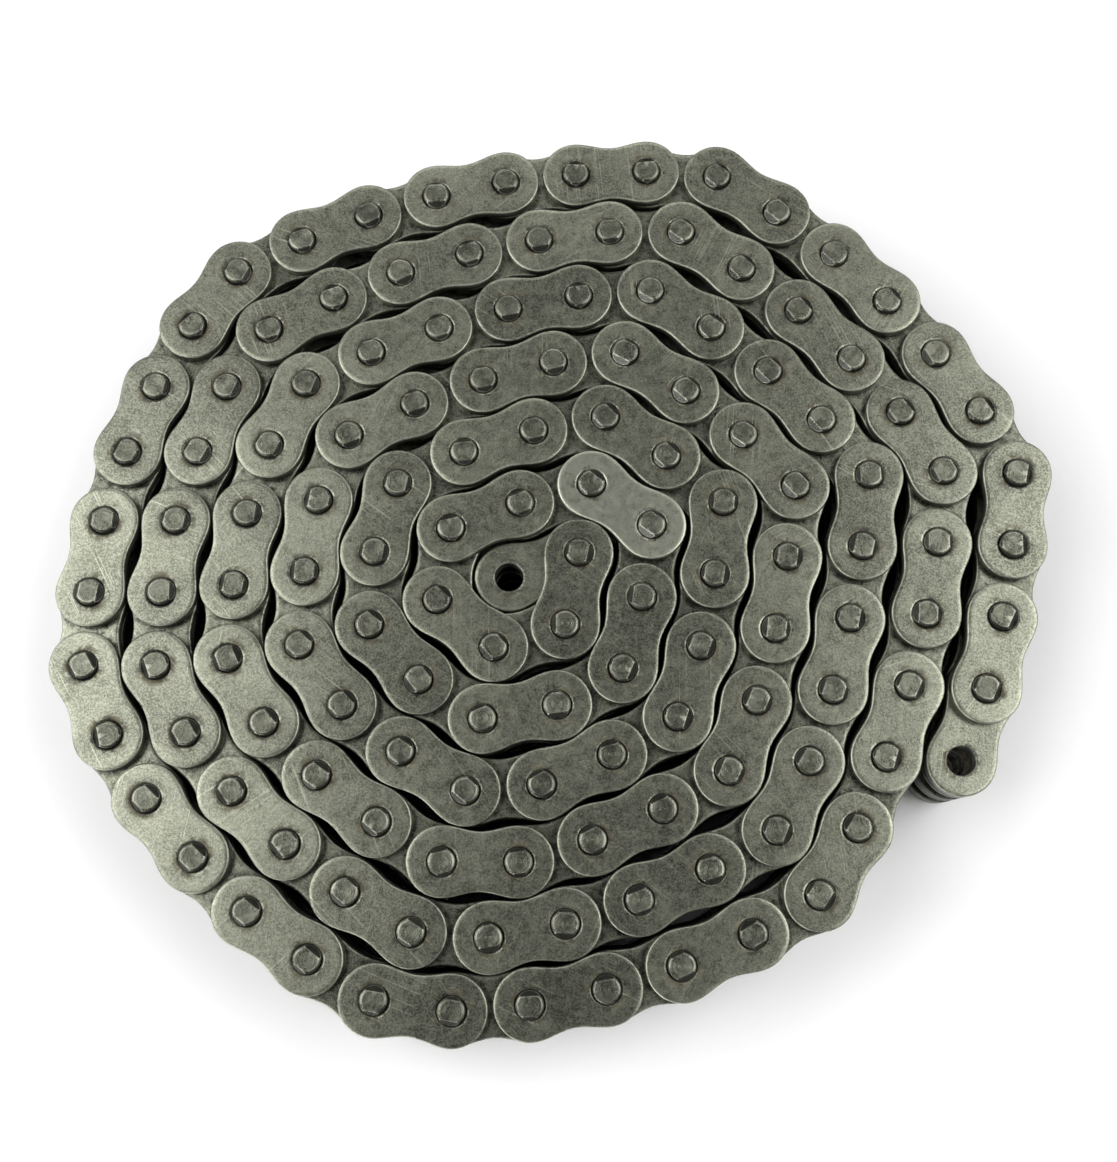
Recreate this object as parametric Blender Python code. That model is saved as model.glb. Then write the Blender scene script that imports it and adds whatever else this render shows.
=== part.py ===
"""A length of leaf chain, wound tight into a flat coil that lies on its side.

The lacing is six by six. An outer link has two pins, a cover plate at each end of them and
four middle plates between. An inner link has six inner plates, in pairs between the outer
link's plates. All pins stand upright, so the chain's edge is the coil's top and bottom.
Both free ends are inner links with an open hole. Units are metres, +Z is up, and the origin
is on the floor under the middle of the coil.
"""

import math

import bmesh
import bpy
import numpy as np

# The chain
PITCH = 0.015875
LINKS = 137
PLATE_THICKNESS = 0.0024
LAYER_STEP = 0.00248
LACING = ("cover", "inner", "inner", "middle", "middle", "inner", "inner",
          "middle", "middle", "inner", "inner", "cover")
PLATE_END = 0.00742
PLATE_WAIST = 0.0062
PIN_RADIUS = 0.00298
PIN_STAND = 0.0012
HOLE_RADIUS = 0.0033

# The winding: the inner end's heading, the first turns as a hand lays them, and the radii of the
# five discs that stand for a plate where one turn rests against another
START_HEADING = math.radians(17.9)
FIRST_TURNS = tuple(math.radians(turn) for turn in (118.7, 61.5, 58.1, 59.3, 60.1))
TIGHTEST_TURN = math.radians(126.0)
LEAST_TURN = math.radians(7.0)
SEARCH_STEP = math.radians(2.0)
HALVINGS = 7
REST_END = 0.00766
REST_SHOULDER = 0.00659
REST_WAIST = 0.00619
SHOULDER_FROM_WAIST = 0.004

# What joins a layer into one solid, and the room round the pieces that stand apart from it
WEB_THICKNESS = 0.0004
WEB_LAP = 0.00004
HEAD_SINK = 0.001
CORE_INSET = 0.003
PIECE_ROOM = 0.00025
SWING_ROOM = 0.00767
CENTRE_ROOM = 0.007
TURN_LINKS = 14

# How finely round shapes are faceted: steps round a plate's end, or a quarter of the way round it
# at the rim of a hidden layer, and sides of a pin or hole
END_STEPS = 4
LOW_END_STEPS = 3
RIM_STEPS = 2
PIN_SIDES = 6
LOW_PIN_SIDES = 4
ROUND_SIDES = 8
SWING_SIDES = 16

CENTRE_LINK = 0
TAIL_LINK = LINKS - 2
FREE_LINK = LINKS - 1

STEEL = (0.21, 0.21, 0.18, 1.0)
PIN_STEEL = (0.17, 0.18, 0.18, 1.0)
ROUGHNESS = 0.45


def wind_chain():
    """Joints and headings of a chain that is pulled round itself.

    Each link is turned in until it rests on the turns before it, or until the next link would, if
    that one turned in by as little as a taut chain lets it.
    """
    radii = np.array((REST_END, REST_SHOULDER, REST_WAIST, REST_SHOULDER, REST_END))
    waist = PITCH / 2
    places = np.array((0.0, waist - SHOULDER_FROM_WAIST, waist, waist + SHOULDER_FROM_WAIST, PITCH))
    reach = radii[:, None] + radii
    joints = [np.zeros(2)]
    headings = [START_HEADING]
    wound = [np.zeros((0, len(places), 2)), np.zeros((0, len(places), 2))]

    def discs(joint, heading):
        along = np.stack([np.cos(heading), np.sin(heading)], -1)
        return joint + places[:, None] * along[..., None, :]

    def room(new, link):
        away = new[:, None, :, None] - wound[link % 2][None, :, None]
        return (np.hypot(away[..., 0], away[..., 1]) - reach).min((1, 2, 3), initial=1.0)

    def is_clear(link, heading):
        new = discs(joints[link], heading)
        following = discs(new[:, -1:], heading - LEAST_TURN)
        return (room(new, link) >= 0) & (room(following, link + 1) >= 0)

    for link in range(LINKS):
        if 0 < link <= len(FIRST_TURNS):
            headings.append(headings[-1] - FIRST_TURNS[link - 1])
        elif link:
            tries = headings[-1] - TIGHTEST_TURN + np.arange(0, math.pi, SEARCH_STEP)
            first = int(np.argmax(is_clear(link, tries)))
            blocked, clear = tries[max(first - 1, 0)], tries[first]
            for _ in range(HALVINGS):
                between = (blocked + clear) / 2
                if is_clear(link, np.array([between]))[0]:
                    clear = between
                else:
                    blocked = between
            headings.append(clear)
        laid = discs(joints[link], np.array([headings[link]]))
        wound[link % 2] = np.concatenate([wound[link % 2], laid])
        joints.append(laid[0, -1])
    return np.array(joints), np.array(headings)


def arc(radius, start, end, steps, centre_x=0.0):
    """Points of an arc about a pin, angles in degrees from +X."""
    angles = [math.radians(start + (end - start) * step / steps) for step in range(steps + 1)]
    return [(centre_x + radius * math.cos(angle), radius * math.sin(angle)) for angle in angles]


def plate_outline(grow=0.0, steps=END_STEPS):
    """Outline of a plate whose first pin is at the origin and whose second is on +X, anticlockwise."""
    end, waist = PLATE_END + grow, PLATE_WAIST + grow
    far_end = arc(end, -90, 90, steps, PITCH)
    near_end = arc(end, 90, 270, steps)
    return far_end + [(PITCH / 2, waist)] + near_end + [(PITCH / 2, -waist)]


def outer_side():
    """The side of a plate that faces out of the coil, from its near end to its far end."""
    near_end = arc(PLATE_END, 180, 90, RIM_STEPS)
    far_end = arc(PLATE_END, 90, 0, RIM_STEPS, PITCH)
    return near_end + [(PITCH / 2, PLATE_WAIST)] + far_end


def ring(radius, sides, centre_x=0.0):
    """A regular polygon with a flat side facing +Y."""
    start = 90 - 180 / sides
    return arc(radius, start, start + 360 * (sides - 1) / sides, sides - 1, centre_x)


JOINTS, HEADINGS = wind_chain()


def on_link(link, points):
    """Points of a link's own frame as they lie in the coil."""
    cos, sin = math.cos(HEADINGS[link]), math.sin(HEADINGS[link])
    x, y = JOINTS[link]
    return [(x + u * cos - v * sin, y + u * sin + v * cos) for u, v in points]


def centre_coil():
    """Moves the joints so that the coil's box is centred on the origin."""
    corners = np.array([on_link(link, plate_outline()) for link in range(LINKS)]).reshape(-1, 2)
    JOINTS[:] -= (corners.min(0) + corners.max(0)) / 2


def layer_heights(layer):
    low = PIN_STAND + layer * LAYER_STEP
    return low, low + PLATE_THICKNESS


TOP = 2 * PIN_STAND + (len(LACING) - 1) * LAYER_STEP + PLATE_THICKNESS


def prisms_mesh(name, prisms):
    """One mesh of upright prisms, each given as (outline, low, high)."""
    shape = bmesh.new()
    for outline, low, high in prisms:
        base = [shape.verts.new((x, y, low)) for x, y in outline]
        lid = [shape.verts.new((x, y, high)) for x, y in outline]
        shape.faces.new(base[::-1])
        shape.faces.new(lid)
        for i, corner in enumerate(base):
            after = (i + 1) % len(base)
            shape.faces.new((corner, base[after], lid[after], lid[i]))
    bmesh.ops.recalc_face_normals(shape, faces=shape.faces)
    mesh = bpy.data.meshes.new(name)
    shape.to_mesh(mesh)
    shape.free()
    return mesh


def steel(name, colour):
    material = bpy.data.materials.new(name)
    material.use_nodes = True
    shader = material.node_tree.nodes["Principled BSDF"]
    shader.inputs["Base Color"].default_value = colour
    shader.inputs["Metallic"].default_value = 1.0
    shader.inputs["Roughness"].default_value = ROUGHNESS
    return material


def make_piece(name, prisms, material, joined=(), cut=()):
    """An object of prisms, with others joined to it and others cut from it."""
    piece = bpy.data.objects.new(name, prisms_mesh(name, prisms))
    bpy.context.scene.collection.objects.link(piece)
    for operation, shapes in (("UNION", joined), ("DIFFERENCE", cut)):
        if not shapes:
            continue
        tool_name = name + "_" + operation.lower()
        tool = bpy.data.objects.new(tool_name, prisms_mesh(tool_name, shapes))
        bpy.context.scene.collection.objects.link(tool)
        tool.hide_render = True
        tool.display_type = "WIRE"
        boolean = piece.modifiers.new(operation.title(), "BOOLEAN")
        boolean.operation = operation
        boolean.object = tool
    piece.data.materials.append(material)
    return piece


def cover_layer(name, layer, face):
    """The cover plates of the coil's top (face 1) or underside (face -1), with their pins' riveted ends.

    A thin web on the side towards the inner plates makes them one solid.
    """
    low, high = layer_heights(layer)
    links = range(1, TAIL_LINK, 2)
    if face > 0:
        steps, pin_sides = END_STEPS, PIN_SIDES
        head = (high - HEAD_SINK, high + PIN_STAND)
        web = (low - WEB_LAP, low + WEB_THICKNESS)
    else:
        steps, pin_sides = LOW_END_STEPS, LOW_PIN_SIDES
        head = (low - PIN_STAND, low + HEAD_SINK)
        web = (high - WEB_THICKNESS, high + WEB_LAP)
    plates = [(on_link(link, plate_outline(steps=steps)), low, high) for link in links]
    joined = [(coil_core(TAIL_LINK - 1), *web)]
    for link in links:
        for pin_x in (0.0, PITCH):
            if link > 1 or pin_x:
                joined.append((on_link(link, ring(PIN_RADIUS, pin_sides, pin_x)), *head))
    below, above = low - PIN_STAND, high + PIN_STAND
    cut = [(on_link(1, ring(HOLE_RADIUS, ROUND_SIDES)), below, above),
           (on_link(CENTRE_LINK, ring(CENTRE_ROOM, ROUND_SIDES)), below, above)]
    make_piece(name, plates, steel(name, STEEL), joined, cut)


def nearest_joint(last_joint):
    """The joint of the turn before that lies nearest to the given one."""
    earlier = JOINTS[: last_joint - TURN_LINKS + 1]
    return int(np.argmin(np.hypot(*(earlier - JOINTS[last_joint]).T)))


def coil_core(last_joint):
    """Outline of the web: the last turn's joints, drawn in a little and closed."""
    turn = JOINTS[nearest_joint(last_joint):last_joint + 1]
    middle = turn.mean(0)
    span = np.hypot(*(turn - middle).T)[:, None]
    inset = middle + (turn - middle) * (span - CORE_INSET) / span
    return [tuple(point) for point in inset[::-1]]


def coil_rim(last_link):
    """Outline of a layer: the outer sides of the last turn's plates, closed behind the last plate."""
    first_link = nearest_joint(last_link + 1) - 3
    first_link += (last_link - first_link) % 2
    rim = [point for link in range(first_link, last_link + 1, 2) for point in on_link(link, outer_side())]
    ahead = np.array((math.cos(HEADINGS[last_link]), math.sin(HEADINGS[last_link])))
    end = JOINTS[last_link + 1] + (PLATE_END + PIECE_ROOM) * ahead
    start = next(i for i, point in enumerate(rim) if (np.array(point) - end) @ ahead > 0)
    return rim[start:][::-1]


def plate_layer(name, layer, parity):
    """A layer of inner or middle plates: their outer sides round the rim, plain where the coil hides them."""
    low, high = layer_heights(layer)
    below, above = low - PIN_STAND, high + PIN_STAND
    if parity == 0:
        last_link = TAIL_LINK - 1
        cut = [(on_link(CENTRE_LINK, plate_outline(PIECE_ROOM)), below, above),
               (on_link(FREE_LINK, ring(SWING_ROOM, SWING_SIDES)), below, above),
               (on_link(TAIL_LINK, ring(HOLE_RADIUS, ROUND_SIDES)), below, above)]
    else:
        last_link = TAIL_LINK - 2
        cut = [(on_link(CENTRE_LINK, ring(CENTRE_ROOM, ROUND_SIDES)), below, above),
               (on_link(TAIL_LINK, ring(SWING_ROOM, SWING_SIDES)), below, above),
               (on_link(FREE_LINK, ring(SWING_ROOM, SWING_SIDES)), below, above),
               (on_link(CENTRE_LINK, ring(HOLE_RADIUS, ROUND_SIDES, PITCH)), below, above)]
    make_piece(name, [(coil_rim(last_link), low, high)], steel(name, STEEL), cut=cut)


def single_plate(name, link, layer):
    low, high = layer_heights(layer)
    holes = [(on_link(link, ring(HOLE_RADIUS, ROUND_SIDES, x)), low - PIN_STAND, high + PIN_STAND)
             for x in (0.0, PITCH)]
    make_piece(name, [(on_link(link, plate_outline()), low, high)], steel(name, STEEL), cut=holes)


def single_pin(name, link, pin_x):
    outline = on_link(link, ring(PIN_RADIUS, ROUND_SIDES, pin_x))
    make_piece(name, [(outline, 0.0, TOP)], steel(name, PIN_STEEL))


def numbered(kind):
    """The layers of one kind of plate, numbered from the top."""
    layers = [layer for layer, plate in enumerate(LACING) if plate == kind]
    return list(enumerate(reversed(layers), start=1))


def build_coil():
    cover_layer("cover_plates_top", len(LACING) - 1, 1)
    cover_layer("cover_plates_bottom", 0, -1)
    for number, layer in numbered("inner"):
        plate_layer(f"inner_plates_{number}", layer, 0)
        single_plate(f"centre_end_plate_{number}", CENTRE_LINK, layer)
        single_plate(f"free_end_plate_{number}", FREE_LINK, layer)
    for number, layer in numbered("middle"):
        plate_layer(f"middle_plates_{number}", layer, 1)
        single_plate(f"tail_middle_plate_{number}", TAIL_LINK, layer)
    single_plate("tail_cover_plate_top", TAIL_LINK, len(LACING) - 1)
    single_plate("tail_cover_plate_bottom", TAIL_LINK, 0)
    single_pin("centre_end_pin", CENTRE_LINK, PITCH)
    single_pin("tail_link_pin", TAIL_LINK, 0.0)
    single_pin("free_end_pin", TAIL_LINK, PITCH)


for leftover in list(bpy.data.objects):
    bpy.data.objects.remove(leftover)
centre_coil()
build_coil()
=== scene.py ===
"""Looks for a flat coil of leaf chain: every plate and pin in its real shape, in worn, oiled steel.

The chain is wound by the same rule as its frame. Lengths are metres, and +Z is up.
"""

import math

import bmesh
import bpy
import numpy as np
from mathutils import Matrix, Vector
from mathutils.geometry import delaunay_2d_cdt


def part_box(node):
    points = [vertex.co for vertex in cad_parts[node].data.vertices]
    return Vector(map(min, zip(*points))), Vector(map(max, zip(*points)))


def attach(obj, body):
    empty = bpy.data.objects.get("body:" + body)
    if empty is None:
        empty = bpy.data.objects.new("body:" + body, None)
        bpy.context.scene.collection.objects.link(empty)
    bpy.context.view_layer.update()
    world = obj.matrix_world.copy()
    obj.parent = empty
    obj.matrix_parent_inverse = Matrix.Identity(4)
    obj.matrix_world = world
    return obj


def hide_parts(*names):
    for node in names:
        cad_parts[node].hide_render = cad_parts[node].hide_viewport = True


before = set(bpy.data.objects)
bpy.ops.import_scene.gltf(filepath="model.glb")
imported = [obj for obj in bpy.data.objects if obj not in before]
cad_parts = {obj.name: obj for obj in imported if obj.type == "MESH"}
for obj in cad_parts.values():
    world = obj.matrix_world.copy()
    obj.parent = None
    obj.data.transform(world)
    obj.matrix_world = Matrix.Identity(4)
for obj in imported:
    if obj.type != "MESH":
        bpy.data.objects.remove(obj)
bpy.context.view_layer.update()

MM = 0.001

# The chain
PITCH = 15.875 * MM
LINKS = 137
PLATE_THICKNESS = 2.4 * MM
LAYER_STEP = 2.48 * MM
LACING = ("cover", "inner", "inner", "middle", "middle", "inner", "inner",
          "middle", "middle", "inner", "inner", "cover")
PIN_STAND = 1.2 * MM
TOP = 2 * PIN_STAND + (len(LACING) - 1) * LAYER_STEP + PLATE_THICKNESS

# A plate's outline, its holes and its pins
PLATE_END = 7.43 * MM
PLATE_WAIST = 6.15 * MM
PIN_RADIUS = 2.95 * MM
HOLE_RADIUS = 3.03 * MM
END_HOLE_RADIUS = 3.1 * MM

# The winding, with the discs that stand for a plate where one turn rests against another
START_HEADING = math.radians(17.9)
FIRST_TURNS = tuple(math.radians(turn) for turn in (118.7, 61.5, 58.1, 59.3, 60.1))
TIGHTEST_TURN = math.radians(126.0)
LEAST_TURN = math.radians(7.0)
SEARCH_STEP = math.radians(2.0)
HALVINGS = 7
REST_END = 7.66 * MM
REST_SHOULDER = 6.59 * MM
REST_WAIST = 6.19 * MM
SHOULDER_FROM_WAIST = 4.0 * MM

CENTRE_LINK = 0
TAIL_LINK = LINKS - 2
FREE_LINK = LINKS - 1
LIGHTER_LINK = 7


def wind_chain():
    """Joints and headings of a chain that is pulled round itself.

    Each link is turned in until it rests on the turns before it, or until the next link would, if
    that one turned in by as little as a taut chain lets it.
    """
    radii = np.array((REST_END, REST_SHOULDER, REST_WAIST, REST_SHOULDER, REST_END))
    waist = PITCH / 2
    places = np.array((0.0, waist - SHOULDER_FROM_WAIST, waist, waist + SHOULDER_FROM_WAIST, PITCH))
    reach = radii[:, None] + radii
    joints = [np.zeros(2)]
    headings = [START_HEADING]
    wound = [np.zeros((0, len(places), 2)), np.zeros((0, len(places), 2))]

    def discs(joint, heading):
        along = np.stack([np.cos(heading), np.sin(heading)], -1)
        return joint + places[:, None] * along[..., None, :]

    def room(new, link):
        away = new[:, None, :, None] - wound[link % 2][None, :, None]
        return (np.hypot(away[..., 0], away[..., 1]) - reach).min((1, 2, 3), initial=1.0)

    def is_clear(link, heading):
        new = discs(joints[link], heading)
        following = discs(new[:, -1:], heading - LEAST_TURN)
        return (room(new, link) >= 0) & (room(following, link + 1) >= 0)

    for link in range(LINKS):
        if 0 < link <= len(FIRST_TURNS):
            headings.append(headings[-1] - FIRST_TURNS[link - 1])
        elif link:
            tries = headings[-1] - TIGHTEST_TURN + np.arange(0, math.pi, SEARCH_STEP)
            first = int(np.argmax(is_clear(link, tries)))
            blocked, clear = tries[max(first - 1, 0)], tries[first]
            for _ in range(HALVINGS):
                between = (blocked + clear) / 2
                if is_clear(link, np.array([between]))[0]:
                    clear = between
                else:
                    blocked = between
            headings.append(clear)
        laid = discs(joints[link], np.array([headings[link]]))
        wound[link % 2] = np.concatenate([wound[link % 2], laid])
        joints.append(laid[0, -1])
    return np.array(joints), np.array(headings)


def middle_of(node):
    low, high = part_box(node)
    return np.array(((low + high) / 2)[:2])


JOINTS, HEADINGS = wind_chain()
JOINTS += middle_of("free_end_pin") - JOINTS[FREE_LINK]


def base_of(layer):
    return PIN_STAND + layer * LAYER_STEP


def layers_of(kind):
    """The layers of one kind of plate, from the top down, as they are numbered."""
    return [layer for layer in reversed(range(len(LACING))) if LACING[layer] == kind]


# Shapes: a shape is (points, faces, edges), where edges is how near each point is to a rounded
# edge, which takes wear and painted highlight

HOLE_PLACES = (0.0, PITCH)
WELD = 1e-5


def plate_side(place):
    """How far a plate's side is from its centreline, at a place along it."""
    swell = 0.5 + 0.5 * np.cos(2 * math.pi * place / PITCH)
    return PLATE_WAIST + (PLATE_END - PLATE_WAIST) * swell


def plate_outline(arc_steps, side_steps):
    """A plate's outline, anticlockwise, and its outward normals. The first pin is at the origin."""
    angles = np.linspace(-math.pi / 2, math.pi / 2, arc_steps + 1)
    arc = PLATE_END * np.stack([np.cos(angles), np.sin(angles)], 1)
    places = np.linspace(PITCH, 0, side_steps + 1)[1:-1]
    side = np.stack([places, plate_side(places)], 1)
    half = np.concatenate([arc + (PITCH, 0), side])
    points = np.concatenate([half, (PITCH, 0) - half])
    along = np.roll(points, -1, 0) - np.roll(points, 1, 0)
    normals = np.stack([along[:, 1], -along[:, 0]], 1)
    return points, normals / np.hypot(*normals.T)[:, None]


def neighbours(count):
    """Each place in a ring of count points, with the next one."""
    return [(i, (i + 1) % count) for i in range(count)]


def plate_shape(arc_steps, side_steps, rim, hole_rim, hole_sides):
    """A plate that lies on its lower face.

    Its rim is given as (inset, height, edge) and its holes' as (radius, height, edge), each from
    the top face down.
    """
    outline, normals = plate_outline(arc_steps, side_steps)
    points, faces, edges, walls = [], [], [], []

    def add_wall(rings, turn):
        """Adds rings of (points, height, edge), and joins each to the one below it."""
        starts = []
        for ring, height, edge in rings:
            starts.append(sum(map(len, points)))
            points.append(np.column_stack([ring, np.full(len(ring), height)]))
            edges.append(np.full(len(ring), edge))
        for upper, lower in zip(starts, starts[1:]):
            for i, j in neighbours(len(ring)):
                faces.append((upper + i, lower + i, lower + j, upper + j)[::turn])
        walls.append((starts[0], starts[-1], len(ring)))

    add_wall([(outline - normals * inset, height, edge) for inset, height, edge in rim], -1)
    angles = 2 * math.pi * np.arange(hole_sides) / hole_sides
    circle = np.stack([np.cos(angles), np.sin(angles)], 1)
    for place in HOLE_PLACES:
        add_wall([(circle * radius + (place, 0), height, edge)
                  for radius, height, edge in hole_rim], 1)
    points, edges = np.concatenate(points), np.concatenate(edges)

    top = np.concatenate([upper + np.arange(count) for upper, _, count in walls])
    base = np.concatenate([lower + np.arange(count) for _, lower, count in walls])
    bounds, first = [], 0
    for _, _, count in walls:
        bounds += [(first + i, first + j) for i, j in neighbours(count)]
        first += count
    flat = [Vector(points[i, :2] / MM) for i in top]
    _, _, triangles, given, _, _ = delaunay_2d_cdt(flat, bounds, [], 1, WELD)
    for triangle in triangles:
        corners = [given[i][0] for i in triangle]
        middle = points[top[corners], :2].mean(0)
        if all(np.hypot(*(middle - (place, 0))) > hole_rim[0][0] for place in HOLE_PLACES):
            faces.append(tuple(top[corners]))
            faces.append(tuple(base[corners])[::-1])
    return points, faces, edges


def turned_over(shape):
    """The same plate lying on its other face."""
    points, faces, edges = shape
    return points * (1, -1, -1) + (0, 0, PLATE_THICKNESS), faces, edges


# A pin's end as (radius, height above the end's plane) in mm, and the flats struck on it: how far
# from the axis each one starts, in mm, and how far the pair leans sideways
PIN_END = ((0.0, -0.05), (1.8, -0.02), (2.34, 0.0), (2.58, -0.05), (2.82, -0.22), (2.95, -0.55))
PIN_FLATS = (((2.1, 1.75), 0.0), ((1.8, 2.2), 0.05), ((2.25, 2.0), -0.05), ((1.7, 2.45), 0.03),
             ((2.5, 1.85), -0.03))
PIN_SIDES = 40
FLAT_SLOPE = math.radians(48)
FLAT_EDGE = 0.07 * MM
FLAT_MARGIN = 0.09 * MM
CUT_TOLERANCE = 1e-7
SAME_WAY = 0.999


def pin_shape(flats, lean):
    """A riveted pin: both ends have two sloping flats, struck when it was made."""
    shape = bmesh.new()
    angles = [2 * math.pi * i / PIN_SIDES for i in range(PIN_SIDES)]
    levels = [(radius * MM, TOP + above * MM) for radius, above in PIN_END[1:]]
    levels += [(radius, TOP - height) for radius, height in reversed(levels)]
    rings = [[shape.verts.new((radius * math.cos(angle), radius * math.sin(angle), height))
              for angle in angles] for radius, height in levels]
    for upper, lower in zip(rings, rings[1:]):
        for i, j in neighbours(PIN_SIDES):
            shape.faces.new((upper[i], lower[i], lower[j], upper[j]))
    top = shape.verts.new((0, 0, TOP + PIN_END[0][1] * MM))
    bottom = shape.verts.new((0, 0, -PIN_END[0][1] * MM))
    for i, j in neighbours(PIN_SIDES):
        shape.faces.new((top, rings[0][i], rings[0][j]))
        shape.faces.new((bottom, rings[-1][j], rings[-1][i]))

    # Faces along the creases of the flats, which the pin steel paints lighter as highlight
    worn = set()
    for end, up in ((TOP, 1), (0.0, -1)):
        for side, start in zip((1, -1), flats):
            slope = Vector((lean * side, side * math.sin(FLAT_SLOPE), up * math.cos(FLAT_SLOPE)))
            slope.normalize()
            everything = shape.verts[:] + shape.edges[:] + shape.faces[:]
            bmesh.ops.bisect_plane(shape, geom=everything, dist=CUT_TOLERANCE, clear_outer=True,
                                   plane_co=(0, side * start * MM, end), plane_no=slope)
            open_edges = [edge for edge in shape.edges if edge.is_boundary]
            bmesh.ops.holes_fill(shape, edges=open_edges)
            soft = bmesh.ops.bevel(shape, geom=open_edges, affect="EDGES", offset=FLAT_EDGE,
                                   segments=2, profile=0.5, clamp_overlap=True)
            worn.update(soft["faces"])
            struck = [face for face in shape.faces if face.normal.dot(slope) > SAME_WAY]
            bmesh.ops.inset_individual(shape, faces=struck, thickness=FLAT_MARGIN)
    bmesh.ops.triangulate(shape, faces=[face for face in shape.faces if len(face.verts) > 4])
    shape.verts.index_update()
    rim = {vert.index for face in worn if face.is_valid for vert in face.verts}
    points = np.array([vert.co for vert in shape.verts])
    faces = [tuple(vert.index for vert in face.verts) for face in shape.faces]
    shape.free()
    return in_order(points, faces, np.array([float(i in rim) for i in range(len(points))]))


def in_order(points, faces, edges):
    """The same shape, with its points and faces in an order that is the same in every run."""
    order = np.lexsort(points.T)
    place = np.argsort(order)
    turned = []
    for face in faces:
        corners = [int(place[i]) for i in face]
        first = corners.index(min(corners))
        turned.append(tuple(corners[first:] + corners[:first]))
    return points[order], sorted(turned), edges[order]


def laid_out(name, copies, crease, seed):
    """One mesh of many copies, each given as (shape, x, y, z, heading, tone).

    Each point keeps where it is on its own piece (spot, in mm) and what that piece is like (mark:
    a random share, how near a rounded edge is, for wear and painted highlight, and tone).
    """
    random = np.random.default_rng(seed)
    points, faces, spots, marks = [], [], [], []
    start = 0
    for (local, polygons, edges), x, y, z, heading, tone in copies:
        share = random.random()
        cos, sin = math.cos(heading), math.sin(heading)
        points.append(np.column_stack([local[:, 0] * cos - local[:, 1] * sin + x,
                                       local[:, 0] * sin + local[:, 1] * cos + y,
                                       local[:, 2] + z]))
        spots.append(local / MM)
        shares, tones = np.full(len(local), share), np.full(len(local), tone)
        marks.append(np.column_stack([shares, edges, tones]))
        faces += [tuple(int(i) + start for i in polygon) for polygon in polygons]
        start += len(local)
    mesh = bpy.data.meshes.new(name)
    mesh.from_pydata(np.concatenate(points).tolist(), [], faces)
    for attribute, values in (("spot", spots), ("mark", marks)):
        layer = mesh.attributes.new(attribute, "FLOAT_VECTOR", "POINT")
        layer.data.foreach_set("vector", np.concatenate(values).astype(np.float32).ravel())
    mesh.shade_smooth()
    mesh.set_sharp_from_angle(angle=crease)
    piece = bpy.data.objects.new(name, mesh)
    bpy.context.scene.collection.objects.link(piece)
    return piece


def below_top(*rings):
    """Rings of a rim, each given as (inset or radius, drop from the top face, edge), in mm."""
    return tuple((across * MM, PLATE_THICKNESS - drop * MM, edge) for across, drop, edge in rings)


LOWER_RIM = ((0, 0.2 * MM, 0), (0.06 * MM, 0.06 * MM, 0.3), (0.2 * MM, 0, 0))
COVER_RIM = below_top((1.0, 0, 0), (0.4, 0, 0.15), (0.22, 0.04, 0.8), (0.09, 0.13, 1),
                      (0.02, 0.27, 1), (0, 0.45, 0.4)) + LOWER_RIM
INNER_RIM = below_top((1.0, 0, 0), (0.4, 0, 0.2), (0.2, 0.05, 0.9), (0.05, 0.2, 1),
                      (0, 0.42, 0.4)) + LOWER_RIM
HIDDEN_RIM = below_top((0.22, 0, 0.8), (0.05, 0.1, 1), (0, 0.3, 0.3)) + (
    (0, 0.2 * MM, 0.2), (0.15 * MM, 0, 0.6))
PIN_HOLE = below_top((3.7, 0, 0), (3.28, 0, 0.1), (3.1, 0.14, 0)) + (
    (HOLE_RADIUS, PLATE_THICKNESS - 0.35 * MM, 0), (HOLE_RADIUS, 0, 0))
PLAIN_HOLE = ((HOLE_RADIUS, PLATE_THICKNESS, 0), (HOLE_RADIUS, 0, 0))
OPEN_HOLE = below_top((3.6, 0, 0), (3.22, 0, 0.3), (3.13, 0.05, 1)) + (
    (END_HOLE_RADIUS, PLATE_THICKNESS - 0.16 * MM, 1), (END_HOLE_RADIUS, 0.12 * MM, 0.3),
    (3.2 * MM, 0, 0.5))

COVER = plate_shape(20, 12, COVER_RIM, PIN_HOLE, hole_sides=28)
INNER = plate_shape(16, 10, INNER_RIM, PLAIN_HOLE, hole_sides=18)
HIDDEN = plate_shape(11, 7, HIDDEN_RIM, PLAIN_HOLE, hole_sides=12)
OPEN_END = plate_shape(20, 12, INNER_RIM, OPEN_HOLE, hole_sides=40)
PINS = [pin_shape(flats, lean) for flats, lean in PIN_FLATS]

# How far pieces are out of true, and from what angle on an edge of theirs is sharp
PLATE_TURN_PLAY = math.radians(0.25)
PLATE_PLAY = 0.04 * MM
PIN_TURN_PLAY = math.radians(9)
PLATE_CREASE = math.radians(50)
PIN_CREASE = math.radians(32)


def plate_row(name, shape, links, layers, seed):
    """Plates of the given links in the given layers, each a little out of true."""
    random = np.random.default_rng(seed)
    copies = []
    for layer in layers:
        for link in links:
            shift = random.uniform(-PLATE_PLAY, PLATE_PLAY, 2)
            heading = HEADINGS[link] + random.uniform(-PLATE_TURN_PLAY, PLATE_TURN_PLAY)
            tone = float(link == LIGHTER_LINK)
            copies.append((shape, *(JOINTS[link] + shift), base_of(layer), heading, tone))
    return laid_out(name, copies, PLATE_CREASE, seed)


def pin_row(name, joints, seed):
    """Pins of the given joints, each turned nearly as its outer link lies."""
    random = np.random.default_rng(seed)
    copies = []
    for joint in joints:
        link = joint if joint % 2 else joint - 1
        heading = HEADINGS[link] + random.uniform(-PIN_TURN_PLAY, PIN_TURN_PLAY)
        shape = PINS[random.integers(len(PINS))]
        copies.append((shape, *JOINTS[joint], 0.0, heading, 0.0))
    return laid_out(name, copies, PIN_CREASE, seed)


# Materials


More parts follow.
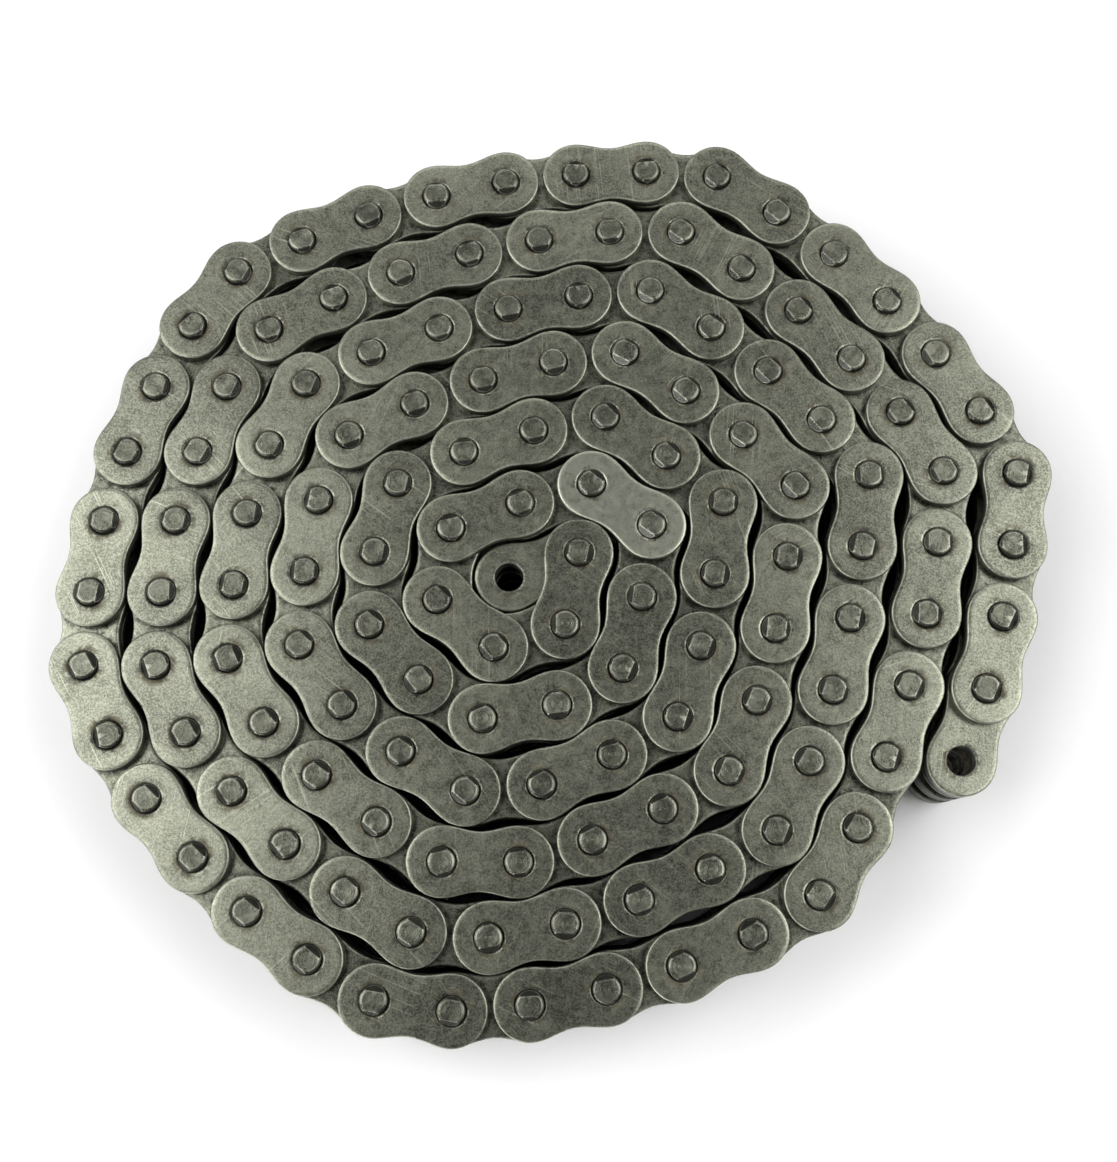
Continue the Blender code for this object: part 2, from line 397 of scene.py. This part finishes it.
class Wire:
    """A node's output in an expression: each operator adds a Math node."""

    def __init__(self, tree, socket):
        self.tree, self.socket = tree, socket

    def calculate(self, operation, first, second):
        inputs = {0: first, 1: second}
        return node(self.tree, "ShaderNodeMath", {"operation": operation}, inputs)

    def __add__(self, other):
        return self.calculate("ADD", self, other)

    def __sub__(self, other):
        return self.calculate("SUBTRACT", self, other)

    def __rsub__(self, other):
        return self.calculate("SUBTRACT", other, self)

    def __mul__(self, other):
        return self.calculate("MULTIPLY", self, other)

    __radd__, __rmul__ = __add__, __mul__

    def at_most(self, other):
        return self.calculate("MINIMUM", self, other)


def feed(tree, socket, value):
    """Gives an input a wire or a value."""
    if isinstance(value, Wire):
        tree.links.new(value.socket, socket)
    else:
        socket.default_value = value


def node(tree, kind, settings, inputs, output=0):
    """Adds a node: its settings first, then the values or wires of its inputs."""
    made = tree.nodes.new(kind)
    for setting, value in settings.items():
        setattr(made, setting, value)
    for socket, value in inputs.items():
        feed(tree, made.inputs[socket], value)
    return Wire(tree, made.outputs[output])


SCRATCH_STRETCH = (30, 2600, 400)
SCRATCH_SPREAD = 2.5
SCRATCH_SOFTNESS = 0.08


class Finish:
    """A material with a Principled shader, and the patterns that its surface is made of."""

    def __init__(self, name):
        self.material = bpy.data.materials.new(name)
        self.material.use_nodes = True
        self.tree = self.material.node_tree
        self.shader = self.tree.nodes["Principled BSDF"]
        self.place = self.add("ShaderNodeTexCoord", {}, {}, "Object")
        self.spot = self.add("ShaderNodeAttribute", {"attribute_name": "spot"}, {}, "Vector")
        mark = self.add("ShaderNodeAttribute", {"attribute_name": "mark"}, {}, "Vector")
        self.share, self.edge, self.tone = (self.axis(mark, name) for name in "XYZ")
        self.height = self.axis(self.spot, "Z")

    def add(self, kind, settings, inputs, output=0):
        return node(self.tree, kind, settings, inputs, output)

    def axis(self, vector, name):
        return self.add("ShaderNodeSeparateXYZ", {}, {0: vector}, name)

    def noise(self, scale, detail, roughness, at=None):
        """Cloudy values from 0 to 1, with scale features to the metre."""
        inputs = {"Vector": at or self.place, "Scale": scale, "Detail": detail,
                  "Roughness": roughness}
        return self.add("ShaderNodeTexNoise", {}, inputs)

    def between(self, value, low, high):
        """Rises smoothly from 0 at low to 1 at high."""
        inputs = {0: value, 1: low, 2: high}
        return self.add("ShaderNodeMapRange", {"interpolation_type": "SMOOTHSTEP"}, inputs)

    def blotches(self, scale, detail, roughness, low, high):
        """Noise that is 0 up to low and 1 from high on."""
        return self.between(self.noise(scale, detail, roughness), low, high)

    def mix(self, share, first, second):
        inputs = {0: share, 6: first, 7: second}
        return self.add("ShaderNodeMix", {"data_type": "RGBA"}, inputs, 2)

    def vector(self, operation, first, second, output=0):
        inputs = {0: first, 1: second}
        return self.add("ShaderNodeVectorMath", {"operation": operation}, inputs, output)

    def away_from(self, x):
        """Distance from one of a piece's upright centrelines, in mm."""
        flat = self.vector("MULTIPLY", self.spot, (1, 1, 0))
        return self.vector("DISTANCE", flat, (x, 0, 0), "Value")

    def scratches(self, density, angle):
        """Fine lines that run one way, and differ from piece to piece."""
        inputs = {"Vector": self.place, "Angle": self.share * SCRATCH_SPREAD + angle}
        turned = self.add("ShaderNodeVectorRotate", {"rotation_type": "Z_AXIS"}, inputs)
        drawn = self.vector("MULTIPLY", turned, SCRATCH_STRETCH)
        return self.between(self.noise(1, 1, 0.5, drawn), density, density + SCRATCH_SOFTNESS)

    def finish(self, colour, metallic, roughness, height, depth):
        bump = self.add("ShaderNodeBump", {},
                        {"Strength": 0.5, "Distance": depth, "Height": height})
        for name, value in (("Base Color", colour), ("Metallic", metallic),
                            ("Roughness", roughness), ("Normal", bump)):
            feed(self.tree, self.shader.inputs[name], value)
        return self.material


def grey(level, olive=1.0):
    """A steel grey; olive is how far it leans to the yellowish green of oiled steel."""
    return (level * (1 - 0.035 * olive), level, level * (1 - 0.225 * olive), 1.0)


RUST = (0.064, 0.05, 0.022, 1.0)
# A near-black for real dirt and pits, and for painted shade and shadow on the plates and pins
SOOT_AND_SHADE = (0.009, 0.009, 0.008, 1.0)
# How far the paler greys lean to olive: worn rims, painted highlights and the lighter link
PALE_OLIVE = 0.8

# Where marks on a plate begin and end, in mm from the nearer pin's centreline: painted shade in the
# gap round the pin, rust and grease round it, and painted shadow just outside a cover plate's edge
PIN_GAP_SHADE = (2.8, 3.1)
STAIN_FADE = (3.2, 5.0)
LAP_START, LAP_END = (7.2, 7.5), (7.6, 9.0)
# Where the darker band on its side does, partly the cut face's own colour and partly painted shade
# between the plates, in mm above its lower face
SHEARED_SHADE_START = (0.08, 0.4)
SHEARED_SHADE_END = (PLATE_THICKNESS / MM - 0.75, PLATE_THICKNESS / MM - 0.4)

# Where painted shade darkens a pin's end under its top face, in mm above the floor, and where the
# painted highlight round its top face lies, in mm from its centreline
PIN_SHOULDER = (TOP / MM - 0.3, TOP / MM - 0.03)
HIGHLIT_BRIM_START, HIGHLIT_BRIM_END = (2.1, 2.3), (2.4, 2.55)


def plate_steel(name, light, dark, grime_and_shade):
    """Tumbled, oiled and handled steel plate.

    It is mottled and speckled and browned round its pins. Its rims are lighter, partly from wear
    and partly as painted highlight. Painted shade darkens the gap round each pin and the plate's
    sides, and painted shadow the band just outside a cover plate's edge. Grime, and with it that
    painted shadow, is most on the hidden plates.
    """
    steel = Finish(name)
    cloud = steel.blotches(80, 3, 0.5, 0.35, 0.65)
    patch = steel.blotches(420, 5, 0.7, 0.36, 0.64)
    speck = steel.blotches(1150, 3, 0.7, 0.36, 0.62)
    grain = steel.blotches(2600, 2, 0.6, 0.38, 0.62)
    level = cloud * 0.24 + patch * 0.14 + speck * 0.08 + grain * 0.54 + (steel.share - 0.5) * 0.3
    colour = steel.mix(level, grey(dark), grey(light))
    colour = steel.mix(steel.tone * 0.7, colour, grey(light * 1.5, PALE_OLIVE))

    to_pin = steel.away_from(0).at_most(steel.away_from(PITCH / MM))
    wander = steel.noise(240, 3, 0.6)
    # Painted shade: the gap round each pin, over the hole's chamfer and wall, is darkened
    ring = 1 - steel.between(to_pin - wander * 0.6, *PIN_GAP_SHADE)
    near_pin = 1 - steel.between(to_pin, *STAIN_FADE)
    halo = near_pin * steel.blotches(190, 5, 0.8, 0.49, 0.56)
    greasy = near_pin * steel.blotches(520, 4, 0.75, 0.51, 0.57)
    lap = steel.between(to_pin, *LAP_START) * (1 - steel.between(to_pin, *LAP_END))
    smear = steel.blotches(110, 6, 0.75, 0.62 - grime_and_shade, 0.7 - grime_and_shade)
    mottle = steel.blotches(850, 4, 0.75, 0.58 - grime_and_shade * 0.5, 0.66 - grime_and_shade * 0.5)
    pits = steel.blotches(1300, 3, 0.6, 0.56, 0.64) * steel.between(wander, 0.4, 0.6)
    scratch = steel.scratches(0.63, 0.3) * steel.blotches(90, 3, 0.5, 0.45, 0.6)
    # The plate's side: partly the cut face's own darkness, partly painted shade between the plates
    sheared_and_shaded = (steel.between(steel.height, *SHEARED_SHADE_START)
               * (1 - steel.between(steel.height, *SHEARED_SHADE_END)))
    # Rims made lighter: partly wear, partly painted highlight
    rubbed_and_highlit = steel.edge * steel.blotches(350, 4, 0.7, 0.35, 0.6)

    stained = (halo * 0.85 + smear * 0.2).at_most(0.8)
    colour = steel.mix(stained, colour, RUST)
    colour = steel.mix(greasy * 0.6, colour, SOOT_AND_SHADE)
    colour = steel.mix(mottle * grime_and_shade * 5, colour, SOOT_AND_SHADE)
    # Painted shadow: a blotchy dark band just outside a cover plate's edge, stronger on grimier
    # plates
    lap_shadow = lap * (0.1 + steel.blotches(520, 5, 0.8, 0.44, 0.58)) * grime_and_shade * 8
    colour = steel.mix(lap_shadow.at_most(0.85), colour, SOOT_AND_SHADE)
    colour = steel.mix(pits * 0.35, colour, SOOT_AND_SHADE)
    # Painted shade in the gap round each pin
    colour = steel.mix(ring * 0.85, colour, SOOT_AND_SHADE)
    colour = steel.mix(scratch * 0.45, colour, grey(light * 1.5))
    # Painted highlight and wear on the rims
    colour = steel.mix(rubbed_and_highlit * 0.6, colour, grey(light * 1.35, PALE_OLIVE))
    # Painted shade on the plate's sides, with the cut face's own darkness
    colour = steel.mix(sheared_and_shaded * 0.55, colour, SOOT_AND_SHADE)

    metallic = 0.95 - stained * 0.5 - pits * 0.4 - ring * 0.6 - sheared_and_shaded * 0.3
    roughness = 0.27 + patch * 0.05 + stained * 0.2 + steel.edge * 0.2
    relief = grain * 0.35 + speck * 0.1 - pits * 0.3
    return steel.finish(colour, metallic, roughness, relief, 0.03 * MM)


def pin_steel():
    """Struck pin steel: turned rings, painted shade under its top, painted highlight at its edges.
    """
    steel = Finish("pin_steel")
    cloud = steel.blotches(420, 4, 0.6, 0.35, 0.65)
    grain = steel.blotches(2600, 3, 0.6, 0.3, 0.7)
    smear = steel.blotches(260, 5, 0.7, 0.55, 0.7)
    radius = steel.away_from(0)
    turned = steel.between(steel.noise(1, 2, 0.5, radius * 3 + steel.share * 40), 0.45, 0.6)
    # Painted shade: the pin is darkened under its top face, on its chamfer, flats and shank
    below = 1 - steel.between(steel.height, *PIN_SHOULDER)
    # Painted highlight: a light ring round the pin's top face
    highlit_brim = steel.between(radius, *HIGHLIT_BRIM_START) * (1 - steel.between(radius, *HIGHLIT_BRIM_END)) * (1 - below)

    level = cloud * 0.35 + grain * 0.4 + steel.share * 0.25
    # The colour of the pin's painted highlights
    highlight_grey = grey(0.33, PALE_OLIVE)
    colour = steel.mix(level, grey(0.045), grey(0.238))
    colour = steel.mix(turned * 0.35, colour, grey(0.052))
    colour = steel.mix(smear * 0.35, colour, RUST)
    # Painted shade under the pin's top face
    colour = steel.mix(below * 0.8, colour, SOOT_AND_SHADE)
    # Painted highlight along the creases of the struck flats, and round the top face
    colour = steel.mix(steel.edge * (0.3 + cloud * 0.6), colour, highlight_grey)
    colour = steel.mix(highlit_brim * (0.1 + cloud * 0.5), colour, highlight_grey)
    metallic = 0.92 - smear * 0.3 - below * 0.3
    roughness = 0.255 + cloud * 0.05
    return steel.finish(colour, metallic, roughness, grain * 0.5 + turned * 0.5 + cloud, 0.05 * MM)


def floor_finish():
    """Plain white board, very slightly uneven."""
    floor = Finish("pale_floor")
    tone = floor.blotches(4, 2, 0.5, 0.2, 0.8)
    colour = floor.mix(tone, (0.9, 0.9, 0.9, 1), (0.93, 0.93, 0.93, 1))
    return floor.finish(colour, 0.0, tone * 0.05 + 0.7, floor.noise(900, 3, 0.5), 0.02 * MM)


# The chain itself

cover_steel = plate_steel("cover_plate_steel", 0.335, 0.1, 0.0)
inner_steel = plate_steel("inner_plate_steel", 0.305, 0.082, 0.09)
# A darker copy of the plate steel for the plates down in the stack: painted shade
shaded_hidden_steel = plate_steel("shaded_hidden_plate_steel", 0.13, 0.04, 0.14)
pins = pin_steel()


def put_on(piece, material, body, nodes):
    """Gives a piece its material and body, and hides the nodes that it stands for."""
    piece.data.materials.append(material)
    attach(piece, body)
    if nodes:
        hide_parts(*nodes)


def add_plates(name, shape, links, layers, seed, steel, body, *nodes):
    put_on(plate_row(name, shape, links, layers, seed), steel, body, nodes)


def add_pins(name, joints, seed, body, *nodes):
    put_on(pin_row(name, joints, seed), pins, body, nodes)


def numbered(stem, layers):
    """The nodes of a stack of plates, from the top down."""
    return [f"{stem}_{number}" for number in range(1, len(layers) + 1)]


top, bottom = layers_of("cover")
inner, middle = layers_of("inner"), layers_of("middle")
wound_outer = range(1, TAIL_LINK, 2)
wound_inner = range(2, TAIL_LINK, 2)
LOW_COVER, LOW_INNER = turned_over(COVER), turned_over(INNER)

add_plates("top_cover_plates", COVER, wound_outer, [top], 11, cover_steel, "coil",
           "cover_plates_top")
add_plates("bottom_cover_plates", LOW_COVER, wound_outer, [bottom], 12, cover_steel, "coil",
           "cover_plates_bottom")
for number, (layer, shown_as) in enumerate(zip(inner, (INNER, *[HIDDEN] * 4, LOW_INNER)), start=1):
    add_plates(f"inner_plate_row_{number}", shown_as, wound_inner, [layer], 20 + number,
               shaded_hidden_steel if shown_as is HIDDEN else inner_steel, "coil",
               f"inner_plates_{number}")
for number, layer in enumerate(middle, start=1):
    add_plates(f"middle_plate_row_{number}", HIDDEN, wound_outer, [layer], 30 + number,
               shaded_hidden_steel, "coil", f"middle_plates_{number}")
upper, *lower = numbered("centre_end_plate", inner)
add_plates("centre_end_top_plate", OPEN_END, [CENTRE_LINK], inner[:1], 41, cover_steel, "coil",
           upper)
add_plates("centre_end_plates", OPEN_END, [CENTRE_LINK], inner[1:], 46, shaded_hidden_steel, "coil",
           *lower)
add_plates("tail_top_cover_plate", COVER, [TAIL_LINK], [top], 42, cover_steel, "tail_link",
           "tail_cover_plate_top")
add_plates("tail_bottom_cover_plate", LOW_COVER, [TAIL_LINK], [bottom], 43, cover_steel,
           "tail_link", "tail_cover_plate_bottom")
add_plates("tail_middle_plates", INNER, [TAIL_LINK], middle, 44, inner_steel, "tail_link",
           *numbered("tail_middle_plate", middle))
upper, *lower = numbered("free_end_plate", inner)
add_plates("free_end_top_plate", OPEN_END, [FREE_LINK], inner[:1], 45, cover_steel, "free_end",
           upper)
add_plates("free_end_plates", OPEN_END, [FREE_LINK], inner[1:], 47, shaded_hidden_steel, "free_end",
           *lower)
add_pins("coil_pins", range(2, TAIL_LINK), 51, "coil")
add_pins("first_pin", [1], 52, "coil", "centre_end_pin")
add_pins("tail_pin", [TAIL_LINK], 53, "tail_link", "tail_link_pin")
add_pins("last_pin", [FREE_LINK], 54, "tail_link", "free_end_pin")


# Floor, light and camera

FLOOR_SIZE = 30
bpy.ops.mesh.primitive_plane_add(size=FLOOR_SIZE)
floor = bpy.context.object
floor.name = "floor"
floor.data.materials.append(floor_finish())

# Each light's name, place, width and height, and power in watts
LIGHTS = (
    ("left_window", (-0.75, 0.08, 0.77), (0.75, 1.1), 10.1),
    ("right_window", (0.66, 0.04, 0.78), (0.85, 0.75), 7.9),
    ("low_front", (-0.75, -1.0, 0.33), (0.9, 0.4), 10.2),
    ("back_window", (-0.05, 0.93, 0.9), (1.0, 0.5), 3.4),
)
for name, place, (width, height), power in LIGHTS:
    lamp = bpy.data.lights.new(name, "AREA")
    lamp.shape = "RECTANGLE"
    lamp.size, lamp.size_y, lamp.energy = width, height, power
    light = bpy.data.objects.new(name, lamp)
    light.location = place
    light.rotation_euler = (-Vector(place)).to_track_quat("-Z", "Y").to_euler()
    bpy.context.scene.collection.objects.link(light)

# The room round the coil is lighter near the horizon, between these heights of the view's direction
GLOW_FADE = (0.35, 0.02)
ROOM_LIGHT = 0.1
GLOW = 0.4

world = bpy.data.worlds.new("studio")
bpy.context.scene.world = world
world.use_nodes = True
sky = world.node_tree
direction = node(sky, "ShaderNodeTexCoord", {}, {}, "Generated")
climb = node(sky, "ShaderNodeSeparateXYZ", {}, {0: direction}, "Z")
glow = node(sky, "ShaderNodeMapRange", {"interpolation_type": "SMOOTHSTEP"},
            {0: climb, 1: GLOW_FADE[0], 2: GLOW_FADE[1]})
background = sky.nodes["Background"]
feed(sky, background.inputs["Color"], (1, 1, 1, 1))
feed(sky, background.inputs["Strength"], glow * GLOW + ROOM_LIGHT)
bpy.context.scene.view_settings.view_transform = "Standard"

# The photo's camera, with its lengths in the photo's pixels
IMAGE_HEIGHT = 1162
FOCAL_PIXELS = 1466.5
SHIFT_PIXELS = 23
SENSOR_MM = 36
CAMERA_ABOVE_PINS = 304.2 * MM
CAMERA_FOOT = (4.8 * MM, -67.5 * MM)
CAMERA_TILT = (0.1930, 0.0129)

view = bpy.data.cameras.new("photo_view")
view.sensor_width = SENSOR_MM
view.lens = SENSOR_MM * FOCAL_PIXELS / IMAGE_HEIGHT
view.shift_y = SHIFT_PIXELS / IMAGE_HEIGHT
view.clip_start, view.clip_end = 0.01, 50
camera = bpy.data.objects.new("photo_view", view)
camera.matrix_world = (Matrix.Translation((*CAMERA_FOOT, TOP + CAMERA_ABOVE_PINS))
                       @ Matrix.Rotation(CAMERA_TILT[1], 4, "Y")
                       @ Matrix.Rotation(CAMERA_TILT[0], 4, "X"))
bpy.context.scene.collection.objects.link(camera)
bpy.context.scene.camera = camera
